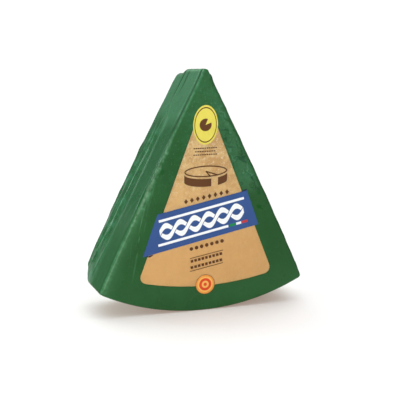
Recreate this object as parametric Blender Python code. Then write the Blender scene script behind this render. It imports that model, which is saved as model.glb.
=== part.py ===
"""A one-kilogram wedge of hard cheese, vacuum packed in a green printed film.

The wedge stands on its curved rind with the tip up. The film hugs the cheese, so its outside is the wedge
with rounded edges, pleats along the cut sides, a folded tip and folded lower corners. A clear window in the
front of the film shows the cheese. Metres, +Z up; the front faces -Y. The origin is in the middle of the flat
spot on the rind that the wedge stands on.
"""

import math
from collections import namedtuple

import bmesh
import bpy
import numpy as np

# The wrapped wedge
CUT_LENGTH = 0.1975  # along a cut side, from the line where the two cuts would meet to the rind
HALF_ANGLE = math.radians(26.0)
RIND_RADIUS = 0.1885
THICKNESS = 0.050
EDGE_ROUND = 0.0024
FOOT_DEPTH = 0.0004  # how far the rind is pressed flat where the wedge stands

# The tip is blunt: the film flares round it, and its top slopes down to the back with one step
TIP_BLUNT = 0.0026  # below the line where the two cuts would meet, at the front
TIP_FLARE = 0.0019
TIP_FLARE_LENGTH = 0.0060
TIP_SLOPE = 0.140
TIP_STEP = 0.0031
TIP_STEP_Y = 0.0125
TIP_STEP_HALF = 0.002

# Bulges of the cut sides and of the back
BOW = 0.0015
LEFT_BACK_BOW = 0.0033  # at the back of the left side
BOW_LEAN = 1.3  # over 1, it is deepest below the middle
BOW_FULLNESS = 0.7  # under 1, it is fuller than a plain arc
BACK_BELLY = 0.0003
BELLY_LOW, BELLY_HIGH = 0.05, 0.12  # whole between these heights
BELLY_TOP = 0.19

# How deep the film folds the two lower back corners flat, and the way the folds face
LEFT_FOLD = 0.0078
RIGHT_FOLD = 0.0040
FOLD_ASIDE, FOLD_BACK, FOLD_DOWN = 0.55, 0.65, 0.52

# Film and cheese. The real film is 0.1 mm thick, and it is thickened inwards here
WALL = 0.0010
GAP = 0.0003

# Clear window in the front of the film
WINDOW_X = 0.0010
WINDOW_TOP = 0.1500
WINDOW_TOP_WIDTH = 0.0174
WINDOW_SPREAD = 0.400  # half-width gained for each metre down
WINDOW_LOWEST = 0.0210
WINDOW_SAG = 0.0072  # how far the curved lower edge hangs below its ends
WINDOW_BEVEL = 0.0060  # start of the round lower corners, from the corner
WINDOW_CORNER_CUTS = 6
WINDOW_FOOT_CUTS = 10

# Points round the tip, along each cut side and along the rind; rings on each face, and across the side
Divisions = namedtuple("Divisions", "tip cut rind face side")
OUTSIDE = Divisions(tip=6, cut=30, rind=30, face=6, side=28)
INSIDE = Divisions(tip=3, cut=10, rind=16, face=2, side=5)
CROWDING = 0.6  # 0 spaces the points evenly, and nearer 1 they crowd towards the edges
FACE_CROWDING = 1.8  # over 1, the rings on a face crowd towards its edge
ROUNDING_ROUNDS = 12
LEAST_PUSH = 0.3  # keeps a point between two opposite faces from being thrown far
SMOOTH_ANGLE = math.radians(40)

# A pleat is a ridge, or a groove if its height is negative, that runs down a cut side.
# It starts and ends at these lengths from the tip, and at these y.
PLEAT_FADE = 0.15  # the part of a pleat's length over which it rises from the side
Pleat = namedtuple("Pleat", "start end start_y end_y height half_width")
LEFT_PLEATS = (
    Pleat(-0.010, 0.110, -0.0215, -0.0225, 0.0008, 0.0018),
    Pleat(-0.010, 0.070, -0.0178, -0.0165, -0.0007, 0.0016),
    Pleat(0.080, 0.200, -0.0205, -0.0220, 0.0008, 0.0026),
    Pleat(0.040, 0.180, 0.0052, 0.0125, 0.0009, 0.0016),
    Pleat(0.055, 0.188, 0.0125, 0.0220, 0.0009, 0.0018),
    Pleat(-0.012, 0.035, 0.0130, 0.0155, -0.0007, 0.0016),
)
RIGHT_PLEATS = (
    Pleat(-0.010, 0.090, -0.0170, -0.0140, -0.0005, 0.0018),
    Pleat(0.030, 0.150, 0.0020, -0.0060, 0.0007, 0.0018),
    Pleat(0.070, 0.190, 0.0100, 0.0190, 0.0007, 0.0020),
)

# Waves of the film on the front, where it lies loose between the window and the right cut side
WAVE_HEIGHT = 0.0006
WAVE_LOW, WAVE_HIGH = 0.085, 0.170
WAVE_FADE = 0.02
LOOSE_FADE = 0.006
WAVES = ((430, 150, 0.4), (-260, 390, 1.9), (120, -560, 4.0))  # turns along x and z, and a start

HALF = THICKNESS / 2
COS, SIN = math.cos(HALF_ANGLE), math.sin(HALF_ANGLE)
CORNER_X = CUT_LENGTH * SIN
RIND_CENTRE_Z = RIND_RADIUS - FOOT_DEPTH
CORNER_Z = RIND_CENTRE_Z - math.sqrt(RIND_RADIUS**2 - CORNER_X**2)
TIP_Z = CORNER_Z + CUT_LENGTH * COS
FACE_MIDDLE = np.array([0.0, 0.45 * TIP_Z])  # the rings on the front and the back shrink to this x and z
LEFT, RIGHT, FRONT = 0, 1, 2
SAME_PLACE = 1e-6


def smooth(low, high, value):
    """0 at low and 1 at high, with an even curve between."""
    t = np.clip((value - low) / (high - low), 0, 1)
    return t * t * (3 - 2 * t)


def from_tip(x, z):
    """Length down a cut side, from the line where the two cuts would meet."""
    return (TIP_Z - z) * COS + abs(x) * SIN


def tip_top(y):
    """Height of the tip at depth y."""
    step = TIP_STEP * smooth(TIP_STEP_Y - TIP_STEP_HALF, TIP_STEP_Y + TIP_STEP_HALF, y)
    return TIP_Z - TIP_BLUNT - TIP_SLOPE * (y + HALF) - step


def swell(length):
    """A bow from the tip to the rind, 1 at its most and fuller towards the rind."""
    t = np.clip(length / CUT_LENGTH, 0, 1) ** BOW_LEAN
    return (4 * t * (1 - t)) ** BOW_FULLNESS


def right_bulge(length):
    """How far the right cut side stands out at this length from the tip."""
    return BOW * swell(length) + TIP_FLARE * np.exp(-np.maximum(length, 0) / TIP_FLARE_LENGTH)


def left_bulge(length, y):
    """How far the left cut side stands out, which grows towards the back."""
    return right_bulge(length) + (LEFT_BACK_BOW - BOW) * smooth(-HALF, HALF, y) * swell(length)


def folded_corner(p, side, fold):
    """Depth below the flat fold of a lower back corner, and its inward direction."""
    outward = np.array([side * FOLD_ASIDE, FOLD_BACK, -FOLD_DOWN])
    outward /= np.linalg.norm(outward)
    corner = np.array([side * CORNER_X, HALF, CORNER_Z])
    return (corner - p) @ outward - fold, -outward


def faces_of_wedge(p):
    """Depth of each point below every face, and the inward directions of the faces."""
    x, y, z = p.T
    length = from_tip(x, z)
    radial = np.stack([-x, np.zeros_like(x), RIND_CENTRE_Z - z], 1)
    reach = np.linalg.norm(radial, axis=1)
    belly = BACK_BELLY * smooth(BELLY_TOP, BELLY_HIGH, z) * smooth(0, BELLY_LOW, z)
    faces = (
        (x * COS + (TIP_Z - z) * SIN + left_bulge(length, y), (COS, 0, -SIN)),
        (-x * COS + (TIP_Z - z) * SIN + right_bulge(length), (-COS, 0, -SIN)),
        (HALF + y, (0, 1, 0)),
        (HALF + belly - y, (0, -1, 0)),
        (RIND_RADIUS - reach, radial / reach[:, None]),
        (tip_top(y) - z, (0, 0, -1)),
        folded_corner(p, -1, LEFT_FOLD),
        folded_corner(p, 1, RIGHT_FOLD),
    )
    depths = np.stack([depth for depth, _ in faces], 1)
    inward = np.stack([np.broadcast_to(direction, p.shape) for _, direction in faces], 1)
    return depths, inward


def settle(p, inset):
    """Moves points onto the wedge with its edges rounded, this far inside its faces.

    It also returns the outward direction at each point, and how much each face holds it.
    """
    for _ in range(ROUNDING_ROUNDS):
        depths, inward = faces_of_wedge(p)
        near = np.maximum(EDGE_ROUND - (depths - inset), 0)
        size = np.linalg.norm(near, axis=1)
        held = near / size[:, None]
        push = np.einsum("pf,pfc->pc", held, inward)
        step = (size - EDGE_ROUND) / np.maximum((push**2).sum(1), LEAST_PUSH)
        p = p + push * step[:, None]
    return p, -push / np.linalg.norm(push, axis=1)[:, None], held


def pleat_height(p, pleats):
    """Height of the pleats at points of a cut side."""
    length = from_tip(p[:, 0], p[:, 2])
    height = np.zeros(len(p))
    for pleat in pleats:
        t = np.clip((length - pleat.start) / (pleat.end - pleat.start), 0, 1)
        aside = p[:, 1] - (pleat.start_y + (pleat.end_y - pleat.start_y) * t)
        fade = smooth(0, PLEAT_FADE, t) * smooth(1, 1 - PLEAT_FADE, t)
        height += pleat.height * fade * np.exp(-((aside / pleat.half_width) ** 2))
    return height


def wave_height(p):
    """Height of the loose film beside the window."""
    x, _, z = p.T
    window_edge = WINDOW_X + WINDOW_TOP_WIDTH / 2 + WINDOW_SPREAD * (WINDOW_TOP - z)
    cut_edge = (TIP_Z - z) * SIN / COS
    beside = np.minimum(x - window_edge, cut_edge - x)
    loose = smooth(0, LOOSE_FADE, beside) * smooth(WAVE_LOW, WAVE_LOW + WAVE_FADE, z)
    loose = loose * smooth(WAVE_HIGH, WAVE_HIGH - WAVE_FADE, z)
    return WAVE_HEIGHT * loose * sum(np.sin(a * x + b * z + start) for a, b, start in WAVES) / len(WAVES)


def relief(p, held):
    """Height of the film's pleats and waves."""
    height = held[:, LEFT] ** 2 * pleat_height(p, LEFT_PLEATS)
    height += held[:, RIGHT] ** 2 * pleat_height(p, RIGHT_PLEATS)
    return height + held[:, FRONT] ** 2 * wave_height(p)


def closer_at_ends(count):
    """Steps from 0 towards 1 that are shorter at both ends."""
    t = np.arange(count) / count
    return t - CROWDING * np.sin(2 * np.pi * t) / (2 * np.pi)


def outline(y, cuts):
    """Points in x and z round the wedge at depth y, from the left of the tip over the right side."""
    top = tip_top(y)
    tip_half = (TIP_Z - top) * SIN / COS + TIP_FLARE
    corner = np.array([CORNER_X, CORNER_Z])
    shoulder = np.array([tip_half, top])
    mirror = np.array([-1, 1])
    out = np.array([COS, SIN])
    along = closer_at_ends(cuts.cut)[:, None]
    right = shoulder + (corner - shoulder) * along
    right = right + out * right_bulge(along * CUT_LENGTH)
    left = corner + (shoulder - corner) * along
    left = left + out * left_bulge((1 - along) * CUT_LENGTH, y)
    turn = math.asin(CORNER_X / RIND_RADIUS) * (1 - 2 * np.arange(cuts.rind) / cuts.rind)
    rind = np.stack([RIND_RADIUS * np.sin(turn), RIND_CENTRE_Z - RIND_RADIUS * np.cos(turn)], 1)
    tip = shoulder * mirror + (shoulder - shoulder * mirror) * (np.arange(cuts.tip) / cuts.tip)[:, None]
    return np.concatenate([tip, right, rind, left * mirror])


def skin_rings(cuts, inset, pleated):
    """Rings of points over one closed skin, from the middle of the front to the middle of the back."""
    face = [1 - (1 - k / cuts.face) ** FACE_CROWDING for k in range(1, cuts.face)]
    side = [HALF * (2 * t - 1) for t in closer_at_ends(cuts.side)] + [HALF]
    places = [(size, -HALF) for size in face] + [(1, y) for y in side] + [(size, HALF) for size in face[::-1]]
    rings = []
    for size, y in places:
        flat = FACE_MIDDLE + (outline(y, cuts) - FACE_MIDDLE) * size
        rings.append(np.stack([flat[:, 0], np.full(len(flat), y), flat[:, 1]], 1))
    p, outward, held = settle(np.concatenate(rings), inset)
    if pleated:
        p = p + outward * relief(p, held)[:, None]
    p[:, 2] = np.maximum(p[:, 2], inset)
    return p.reshape(len(places), -1, 3)


def new_object(name, fill, material=None):
    """An object whose mesh is made by the given function."""
    mesh = bpy.data.meshes.new(name)
    bm = bmesh.new()
    fill(bm)
    bmesh.ops.recalc_face_normals(bm, faces=bm.faces)
    bm.to_mesh(mesh)
    bm.free()
    if material:
        mesh.materials.append(material)
    obj = bpy.data.objects.new(name, mesh)
    bpy.context.scene.collection.objects.link(obj)
    return obj


def skin(name, cuts, material=None, inset=0.0, pleated=False):
    """One closed skin of the wedge: its rings joined by bands, and both ends filled."""

    def fill(bm):
        rings = [[bm.verts.new(point) for point in ring] for ring in skin_rings(cuts, inset, pleated)]
        for ring, following in zip(rings, rings[1:]):
            for k in range(len(ring)):
                bm.faces.new((ring[k - 1], ring[k], following[k], following[k - 1]))
        bm.faces.new(rings[0])
        bm.faces.new(rings[-1])
        bmesh.ops.poke(bm, faces=[face for face in bm.faces if len(face.verts) > 4])
        bmesh.ops.triangulate(bm, faces=bm.faces, quad_method="FIXED")

    obj = new_object(name, fill, material)
    obj.data.shade_smooth()
    obj.data.set_sharp_from_angle(angle=SMOOTH_ANGLE)
    return obj


def window(bm):
    """A prism in the window's outline, through the front of the film."""
    low_half = WINDOW_TOP_WIDTH / 2 + WINDOW_SPREAD * (WINDOW_TOP - WINDOW_LOWEST - WINDOW_SAG)
    across = np.linspace(1, -1, WINDOW_FOOT_CUTS + 1)
    points = [(-WINDOW_TOP_WIDTH / 2, WINDOW_TOP), (WINDOW_TOP_WIDTH / 2, WINDOW_TOP)]
    points += [(t * low_half, WINDOW_LOWEST + WINDOW_SAG * t * t) for t in across]
    face = bm.faces.new([bm.verts.new((WINDOW_X + x, -THICKNESS, z)) for x, z in points])
    moved = bmesh.ops.extrude_face_region(bm, geom=[face])["geom"]
    inner = [item for item in moved if isinstance(item, bmesh.types.BMVert)]
    bmesh.ops.translate(bm, verts=inner, vec=(0, THICKNESS, 0))
    corners = [
        edge
        for edge in bm.edges
        if all(abs(abs(v.co.x - WINDOW_X) - low_half) < SAME_PLACE for v in edge.verts)
        and edge.verts[0].co.x == edge.verts[1].co.x
    ]
    bmesh.ops.bevel(
        bm, geom=corners, offset=WINDOW_BEVEL, segments=WINDOW_CORNER_CUTS, profile=0.5, affect="EDGES"
    )


def finish(name, colour, roughness):
    """A material of one colour."""
    material = bpy.data.materials.new(name)
    material.use_nodes = True
    shader = material.node_tree.nodes["Principled BSDF"]
    shader.inputs["Base Color"].default_value = (*colour, 1)
    shader.inputs["Roughness"].default_value = roughness
    return material


def cut_out(obj, cutter):
    """Takes the cutter's shape out of the object."""
    cutter.hide_render = True
    cutter.display_type = "WIRE"
    modifier = obj.modifiers.new(f"less_{cutter.name}", "BOOLEAN")
    modifier.operation = "DIFFERENCE"
    modifier.solver = "EXACT"
    modifier.object = cutter


def main():
    for obj in list(bpy.data.objects):
        bpy.data.objects.remove(obj)
    skin("cheese", INSIDE, finish("cheese_paste", (0.66, 0.40, 0.16), 0.6), inset=WALL + GAP)
    film = skin("film", OUTSIDE, finish("green_film", (0.031, 0.11, 0.04), 0.35), pleated=True)
    cut_out(film, skin("cavity", INSIDE, inset=WALL))
    cut_out(film, new_object("window_cut", window))


main()
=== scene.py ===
"""A wedge of hard cheese, vacuum packed in a green printed film with a clear window in its front."""

import cmath
import math
from collections import namedtuple
from contextlib import contextmanager
from functools import partialmethod

import bmesh
import bpy
import numpy as np
from mathutils import Matrix, Vector


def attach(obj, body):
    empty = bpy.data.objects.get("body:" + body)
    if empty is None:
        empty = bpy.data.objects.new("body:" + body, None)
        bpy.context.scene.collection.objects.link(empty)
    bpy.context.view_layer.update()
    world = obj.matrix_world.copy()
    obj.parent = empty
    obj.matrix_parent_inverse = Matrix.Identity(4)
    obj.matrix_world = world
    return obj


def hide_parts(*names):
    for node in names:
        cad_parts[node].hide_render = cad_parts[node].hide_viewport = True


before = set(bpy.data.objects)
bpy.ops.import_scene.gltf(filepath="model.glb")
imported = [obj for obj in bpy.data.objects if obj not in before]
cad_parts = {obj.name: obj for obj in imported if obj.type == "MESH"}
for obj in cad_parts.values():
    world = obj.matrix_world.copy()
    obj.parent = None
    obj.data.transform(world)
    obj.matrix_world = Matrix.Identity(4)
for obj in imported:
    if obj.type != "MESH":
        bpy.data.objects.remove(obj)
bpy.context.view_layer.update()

MM = 0.001

# The wrapped wedge. Metres, +Z up, and the front faces -Y
CUT_LENGTH = 0.1975
HALF_ANGLE = math.radians(26.0)
RIND_RADIUS = 0.1885
THICKNESS = 0.05
EDGE_ROUND = 0.0024
CRISP_ROUND = 0.0012  # of the upper front left edge
TIP_ROUND = 0.005  # of the right edge of the tip
TIP_PUFF = 0.0004
TIP_FALL, TIP_FALL_START, TIP_FALL_WIDTH = 0.0016, -0.0015, 0.004  # of the right end of the tip
KNUCKLE = 0.001
KNUCKLE_LENGTH, KNUCKLE_HALF = 0.0105, 0.0035
FOOT_DEPTH = 0.0004

TIP_BLUNT = 0.0026
TIP_FLARE = 0.0019
TIP_FLARE_LENGTH = 0.006
TIP_SLOPE = 0.14
TIP_STEP = 0.0031
TIP_STEP_Y = 0.0125
TIP_STEP_HALF = 0.002

BOW = 0.0015
LEFT_BACK_BOW = 0.0033
BOW_LEAN = 1.3
BOW_FULLNESS = 0.7
BACK_BELLY = 0.0003
BELLY_LOW, BELLY_HIGH = 0.05, 0.12
BELLY_TOP = 0.19

LEFT_FOLD = 0.0078
RIGHT_FOLD = 0.004
FOLD_ASIDE, FOLD_BACK, FOLD_DOWN = 0.55, 0.65, 0.52

WINDOW_X = 0.001
WINDOW_TOP = 0.15
WINDOW_HALVES = (0.0107, 0.0089)  # at the top, to the left and to the right of WINDOW_X
WINDOW_SPREADS = (0.368, 0.406)
WINDOW_LOWEST = 0.0205
WINDOW_SAG = 0.0072
WINDOW_CORNER = 0.0055  # radius of the lower corners
WINDOW_CORNER_CUTS = 7
WINDOW_FOOT_CUTS = 12
WINDOW_ROOM = 0.01  # over and under it, within which the front is cut

CROWDING = 0.6
FACE_CROWDING = 1.8
ROUNDING_ROUNDS = 12
LEAST_PUSH = 0.3

HALF = THICKNESS / 2
COS, SIN = math.cos(HALF_ANGLE), math.sin(HALF_ANGLE)
CORNER_X = CUT_LENGTH * SIN
RIND_CENTRE_Z = RIND_RADIUS - FOOT_DEPTH
CORNER_Z = RIND_CENTRE_Z - math.sqrt(RIND_RADIUS**2 - CORNER_X**2)
TIP_Z = CORNER_Z + CUT_LENGTH * COS
FACE_MIDDLE = np.array([0.0, 0.45 * TIP_Z])
LEFT, RIGHT, FRONT, BACK, TIP = 0, 1, 2, 3, 5  # the faces of the wedge, in their order

# Limits between which the upper front left edge gets crisp, and the right of the tip round
CRISP_BELOW, CRISP_Y, CRISP_LENGTH = (0.01, 0.005), (-0.012, -0.018), (0.16, 0.095)
TIP_ROUND_Z, TIP_ROUND_X = (TIP_Z - 0.016, TIP_Z - 0.009), (0.001, 0.004)

# Film, cheese and ink
FILM_WALL = 0.00012
CHEESE_INSET = 0.0013  # under the printed film, as in the CAD
CHEESE_CLOSE = 0.0003  # under the clear film, where the cheese shows
CHEESE_RISE = (-0.006, -0.002)  # places outside the window between which it comes up close
INK_LIFT = 0.00005
INK_WALL = 0.00004

# Points round the tip, along each cut side and along the rind; rings on each face, and across the side
Divisions = namedtuple("Divisions", "tip cut rind face side")
FILM_CUTS = Divisions(tip=16, cut=98, rind=90, face=30, side=80)
CHEESE_CUTS = Divisions(tip=6, cut=60, rind=60, face=22, side=14)

# A crease is a ridge down a cut side, or a groove if its height is negative, in millimetres. Its points are
# lengths from the tip and y. Its crest is the strength of its painted highlight, or of a groove's painted
# shade.
Crease = namedtuple("Crease", "points height half_width crest")
LEFT_CREASES = (
    Crease(((34, 5), (42, 3), (50, -0.5), (60, -1.7), (80, -2.5), (118, -2.9), (130, -2.6), (140, -1.7),
            (150, -0.9), (160, 0.8), (170, 2.7), (180, 4.9), (190, 7.4)), 0.46, 1.15, 0.65),
    Crease(((48, 6.6), (80, 7.2), (95, 8.2), (106, 9.0), (120, 9.3), (132, 9.8)), 0.42, 1.0, 0.7),
    Crease(((119, 9.0), (128, 9.5), (140, 10.2), (148, 10.7), (160, 12.8), (170, 14.2), (178, 16.4),
            (190, 19.6)), 0.6, 1.1, 1.0),
    Crease(((92, -21), (104, -14), (114, -8), (122, -3)), 0.16, 1.6, 0.2),
    Crease(((112, -20), (124, -13), (136, -7), (150, -2)), 0.16, 1.6, 0.2),
    Crease(((52, 12.5), (70, 13.0), (90, 14.5), (104, 15.5)), 0.35, 1.5, 0.4),
    Crease(((4, 5.0), (12, 5.5), (25, 6.1), (42, 5.5)), 0.45, 0.9, 0.6),
    Crease(((4, 0.8), (14, 1.8), (26, 1.3), (34, 0.8)), -0.5, 1.4, 0.8),
    Crease(((4, 9.5), (14, 10.1), (28, 9.3), (38, 8.5)), -0.55, 1.3, 1.0),
    Crease(((-6, -22.0), (5, -22.0), (30, -22.2), (50, -22.4), (68, -21.8)), -0.18, 1.9, 1.0),
    Crease(((-4, -18.6), (5, -18.8), (30, -18.8), (48, -18.3), (62, -17.2)), 0.35, 1.3, 0.5),
    Crease(((36, -20), (46, -16), (52, -9), (56, -2)), 0.35, 1.6, 0.4),
    Crease(((60, 15.0), (90, 16.5), (120, 15.0), (150, 18.0), (170, 20.0)), 0.22, 1.8, 0.0),
    Crease(((120, -13.0), (150, -11.0), (185, -12.5)), 0.12, 2.6, 0.0),
)
RIGHT_CREASES = (
    Crease(((-4, -17.0), (30, -17.5), (60, -16.0), (90, -14.0)), -0.5, 1.6, 0.5),
    Crease(((30, 3.0), (70, 1.5), (110, -3.0), (150, -6.0)), 0.6, 1.6, 0.8),
    Crease(((60, 10.0), (100, 12.0), (150, 18.0), (188, 19.0)), 0.5, 1.6, 0.6),
    Crease(((4, 8.0), (20, 7.0), (44, 8.0)), -0.4, 1.3, 0.6),
)
# Fine lines that fan out over the front: here a point's second number is its distance from the left edge
FRONT_CREASES = [
    Crease(points, height=0.1, half_width=1.0, crest=crest)
    for *points, crest in (
        ((98, 4.0), (120, 8.5), (146, 15.0), 0.6),
        ((114, 4.0), (140, 9.5), (174, 17.0), 0.7),
        ((136, 9.0), (160, 17.0), (182, 22.5), 0.8),
        ((102, 1.0), (114, 12.0), (122, 20.0), 0.4),
        ((86, 4.0), (100, 9.0), (112, 12.0), 0.4),
        ((108, 4.0), (126, 9.5), (142, 13.0), 0.5),
        ((124, 5.0), (150, 13.5), (178, 21.0), 0.6),
        ((146, 6.0), (162, 12.0), (176, 16.0), 0.6),
        ((100, 8.0), (108, 14.0), (112, 19.0), 0.4),
    )
]
CREST_HEIGHT = 0.00012
CREST_HALF = 0.0007
CREASE_START, CREASE_END = 0.008, 0.016  # over these lengths a crease rises and fades

LUMP_LOW, LUMP_HIGH = 0.00012, 0.00035

# Where the front falls off to its left edge: lengths from the tip, and distances from the edge, in mm
EDGE_SHINE = (
    (0, 0.7), (50, 0.8), (60, 1.0), (73, 1.9), (104, 2.7), (114, 3.3), (139, 2.7), (156, 1.8), (182, 1.9)
)
EDGE_SLOPE = 0.8
EDGE_REACH = 2.5

# Ruffles of the back left edge: lengths from the tip and heights, in mm
RUFFLES = (
    (10, 0), (22, 0.5), (34, 0.1), (48, 0.2), (58, -0.1), (70, -0.9), (76, 0.2), (82, 0.8), (86, 0.3),
    (92, -0.5), (104, -0.5), (114, -0.3), (120, 0.4), (128, -0.1), (138, 0.4), (146, -0.3), (154, -0.1),
    (165, 0.3), (184, 0.6),
)

UNEVENNESS = 0.0002  # of the front right edge

WAVE_HEIGHT = 0.0009
WAVE_LOW, WAVE_HIGH = 0.085, 0.17
WAVE_FADE = 0.02
LOOSE_FADE = 0.006
WAVES = ((430, 150, 0.4), (-260, 390, 1.9), (120, -560, 4.0), (560, -420, 2.2))


def smooth(low, high, value):
    """0 at low and 1 at high, with an even curve between."""
    t = np.clip((value - low) / (high - low), 0, 1)
    return t * t * (3 - 2 * t)


def from_tip(x, z):
    """Length down a cut side, from the line where the two cuts would meet."""
    return (TIP_Z - z) * COS + abs(x) * SIN


def tip_top(y):
    """Height of the tip at depth y."""
    step = TIP_STEP * smooth(TIP_STEP_Y - TIP_STEP_HALF, TIP_STEP_Y + TIP_STEP_HALF, y)
    return TIP_Z - TIP_BLUNT - TIP_SLOPE * (y + HALF) - step


def swell(length):
    """A bow from the tip to the rind, 1 at its most and fuller towards the rind."""
    t = np.clip(length / CUT_LENGTH, 0, 1) ** BOW_LEAN
    return (4 * t * (1 - t)) ** BOW_FULLNESS


def right_bulge(length):
    """How far the right cut side stands out at this length from the tip."""
    return BOW * swell(length) + TIP_FLARE * np.exp(-np.maximum(length, 0) / TIP_FLARE_LENGTH)


def left_bulge(length, y):
    """How far the left cut side stands out, which grows towards the back."""
    return right_bulge(length) + (LEFT_BACK_BOW - BOW) * smooth(-HALF, HALF, y) * swell(length)


def folded_corner(p, side, fold):
    """Depth below the flat fold of a lower back corner, and its inward direction."""
    outward = np.array([side * FOLD_ASIDE, FOLD_BACK, -FOLD_DOWN])
    outward /= np.linalg.norm(outward)
    corner = np.array([side * CORNER_X, HALF, CORNER_Z])
    return (corner - p) @ outward - fold, -outward


def edge_fall(length, below_left):
    """How far the front falls off towards its left edge."""
    reach = EDGE_REACH * np.interp(length, *np.array(EDGE_SHINE).T * MM)
    return EDGE_SLOPE * np.maximum(reach - below_left, 0) ** 2 / (2 * reach)


def faces_of_wedge(p):
    """Depth of each point below every face, and the inward directions of the faces."""
    x, y, z = p.T
    length = from_tip(x, z)
    radial = np.stack([-x, np.zeros_like(x), RIND_CENTRE_Z - z], 1)
    reach = np.linalg.norm(radial, axis=1)
    belly = BACK_BELLY * smooth(BELLY_TOP, BELLY_HIGH, z) * smooth(0, BELLY_LOW, z)
    below_left = x * COS + (TIP_Z - z) * SIN + left_bulge(length, y)
    tip_fall = TIP_FALL * np.clip((x - TIP_FALL_START) / TIP_FALL_WIDTH, 0, 1) ** 2
    faces = (
        (below_left, (COS, 0, -SIN)),
        (-x * COS + (TIP_Z - z) * SIN + right_bulge(length), (-COS, 0, -SIN)),
        (HALF + y - edge_fall(length, below_left), (0, 1, 0)),
        (HALF + belly - y, (0, -1, 0)),
        (RIND_RADIUS - reach, radial / reach[:, None]),
        (tip_top(y) - tip_fall - z, (0, 0, -1)),
        folded_corner(p, -1, LEFT_FOLD),
        folded_corner(p, 1, RIGHT_FOLD),
    )
    depths = np.stack([depth for depth, _ in faces], 1)
    inward = np.stack([np.broadcast_to(direction, p.shape) for _, direction in faces], 1)
    return depths, inward


def edge_round(p, below_left):
    """Radius of the edges: less at the upper front left edge, and more at the right of the tip."""
    x, y, z = p.T
    crisp = smooth(*CRISP_BELOW, below_left) * smooth(*CRISP_Y, y) * smooth(*CRISP_LENGTH, from_tip(x, z))
    at_tip = smooth(*TIP_ROUND_Z, z) * smooth(*TIP_ROUND_X, x)
    return EDGE_ROUND + (CRISP_ROUND - EDGE_ROUND) * crisp + (TIP_ROUND - EDGE_ROUND) * at_tip


def settle(p, inset):
    """Moves points onto the rounded wedge, this far inside its faces.

    It also gives the outward direction at each point, and how much each face holds it.
    """
    for _ in range(ROUNDING_ROUNDS):
        depths, inward = faces_of_wedge(p)
        radius = edge_round(p, depths[:, LEFT])
        near = np.maximum(radius[:, None] - (depths - inset), 0)
        size = np.linalg.norm(near, axis=1)
        held = near / size[:, None]
        push = np.einsum("pf,pfc->pc", held, inward)
        step = (size - radius) / np.maximum((push**2).sum(1), LEAST_PUSH)
        p = p + push * step[:, None]
    return p, -push / np.linalg.norm(push, axis=1)[:, None], held


def crease_reach(crease):
    """Lengths from the tip at which a crease starts and ends."""
    return crease.points[0][0] * MM, crease.points[-1][0] * MM


def crease_height(p, creases):
    """Height of the creases at points of a cut side."""
    length = from_tip(p[:, 0], p[:, 2])
    height = np.zeros(len(p))
    for crease in creases:
        lengths, ys = np.array(crease.points).T * MM
        start, end = crease_reach(crease)
        fade = smooth(start, start + CREASE_START, length) * smooth(end, end - CREASE_END, length)
        aside = (p[:, 1] - np.interp(length, lengths, ys)) / (crease.half_width * MM)
        height += crease.height * MM * fade * np.exp(-(aside**2))
    return height


def wave_height(p):
    """Height of the loose film beside the window."""
    x, _, z = p.T
    window_edge = WINDOW_X + window_half(RIGHT, z)
    cut_edge = (TIP_Z - z) * SIN / COS
    beside = np.minimum(x - window_edge, cut_edge - x)
    loose = smooth(0, LOOSE_FADE, beside) * smooth(WAVE_LOW, WAVE_LOW + WAVE_FADE, z)
    loose = loose * smooth(WAVE_HIGH, WAVE_HIGH - WAVE_FADE, z)
    return WAVE_HEIGHT * loose * sum(np.sin(a * x + b * z + start) for a, b, start in WAVES) / len(WAVES)


def lumps(p):
    """Height of the soft lumps of the film, from -1 to 1."""
    x, y, z = p.T
    across = x * COS + z * SIN
    down = z * COS - x * SIN
    parts = (
        np.sin(510 * y + 120 * down + 1.3 * np.sin(95 * down)),
        np.sin(230 * down - 340 * y + 60 * across),
        np.sin(410 * down + 260 * y + 1.7 * np.sin(150 * y)) * np.sin(70 * across + 2.0),
        np.sin(150 * across + 610 * y),
    )
    return sum(parts) / len(parts)


def relief(p, held):
    """Height of the film's creases, waves, lumps and ruffles."""
    length = from_tip(p[:, 0], p[:, 2])
    behind = smooth(-0.004, 0.006, p[:, 1])
    side_lumps = (LUMP_LOW + (LUMP_HIGH - LUMP_LOW) * behind) * lumps(p)
    height = held[:, LEFT] ** 2 * (crease_height(p, LEFT_CREASES) + side_lumps)
    knuckle = KNUCKLE * np.exp(-(((length - KNUCKLE_LENGTH) / KNUCKLE_HALF) ** 2))
    height += held[:, RIGHT] ** 2 * (crease_height(p, RIGHT_CREASES) + side_lumps + knuckle)
    height += held[:, TIP] ** 2 * TIP_PUFF
    uneven = np.sin(210 * length + 0.6) + 0.7 * np.sin(470 * length + 2.2)
    height += 2 * held[:, RIGHT] * held[:, FRONT] * UNEVENNESS * uneven
    height += held[:, BACK] ** 2 * LUMP_LOW * lumps(p)
    height += 2 * held[:, LEFT] * held[:, BACK] * np.interp(length, *np.array(RUFFLES).T * MM)
    return height + held[:, FRONT] ** 2 * wave_height(p)


def closer_at_ends(count):
    """Steps from 0 towards 1 that are shorter at both ends."""
    t = np.arange(count) / count
    return t - CROWDING * np.sin(2 * np.pi * t) / (2 * np.pi)


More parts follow.
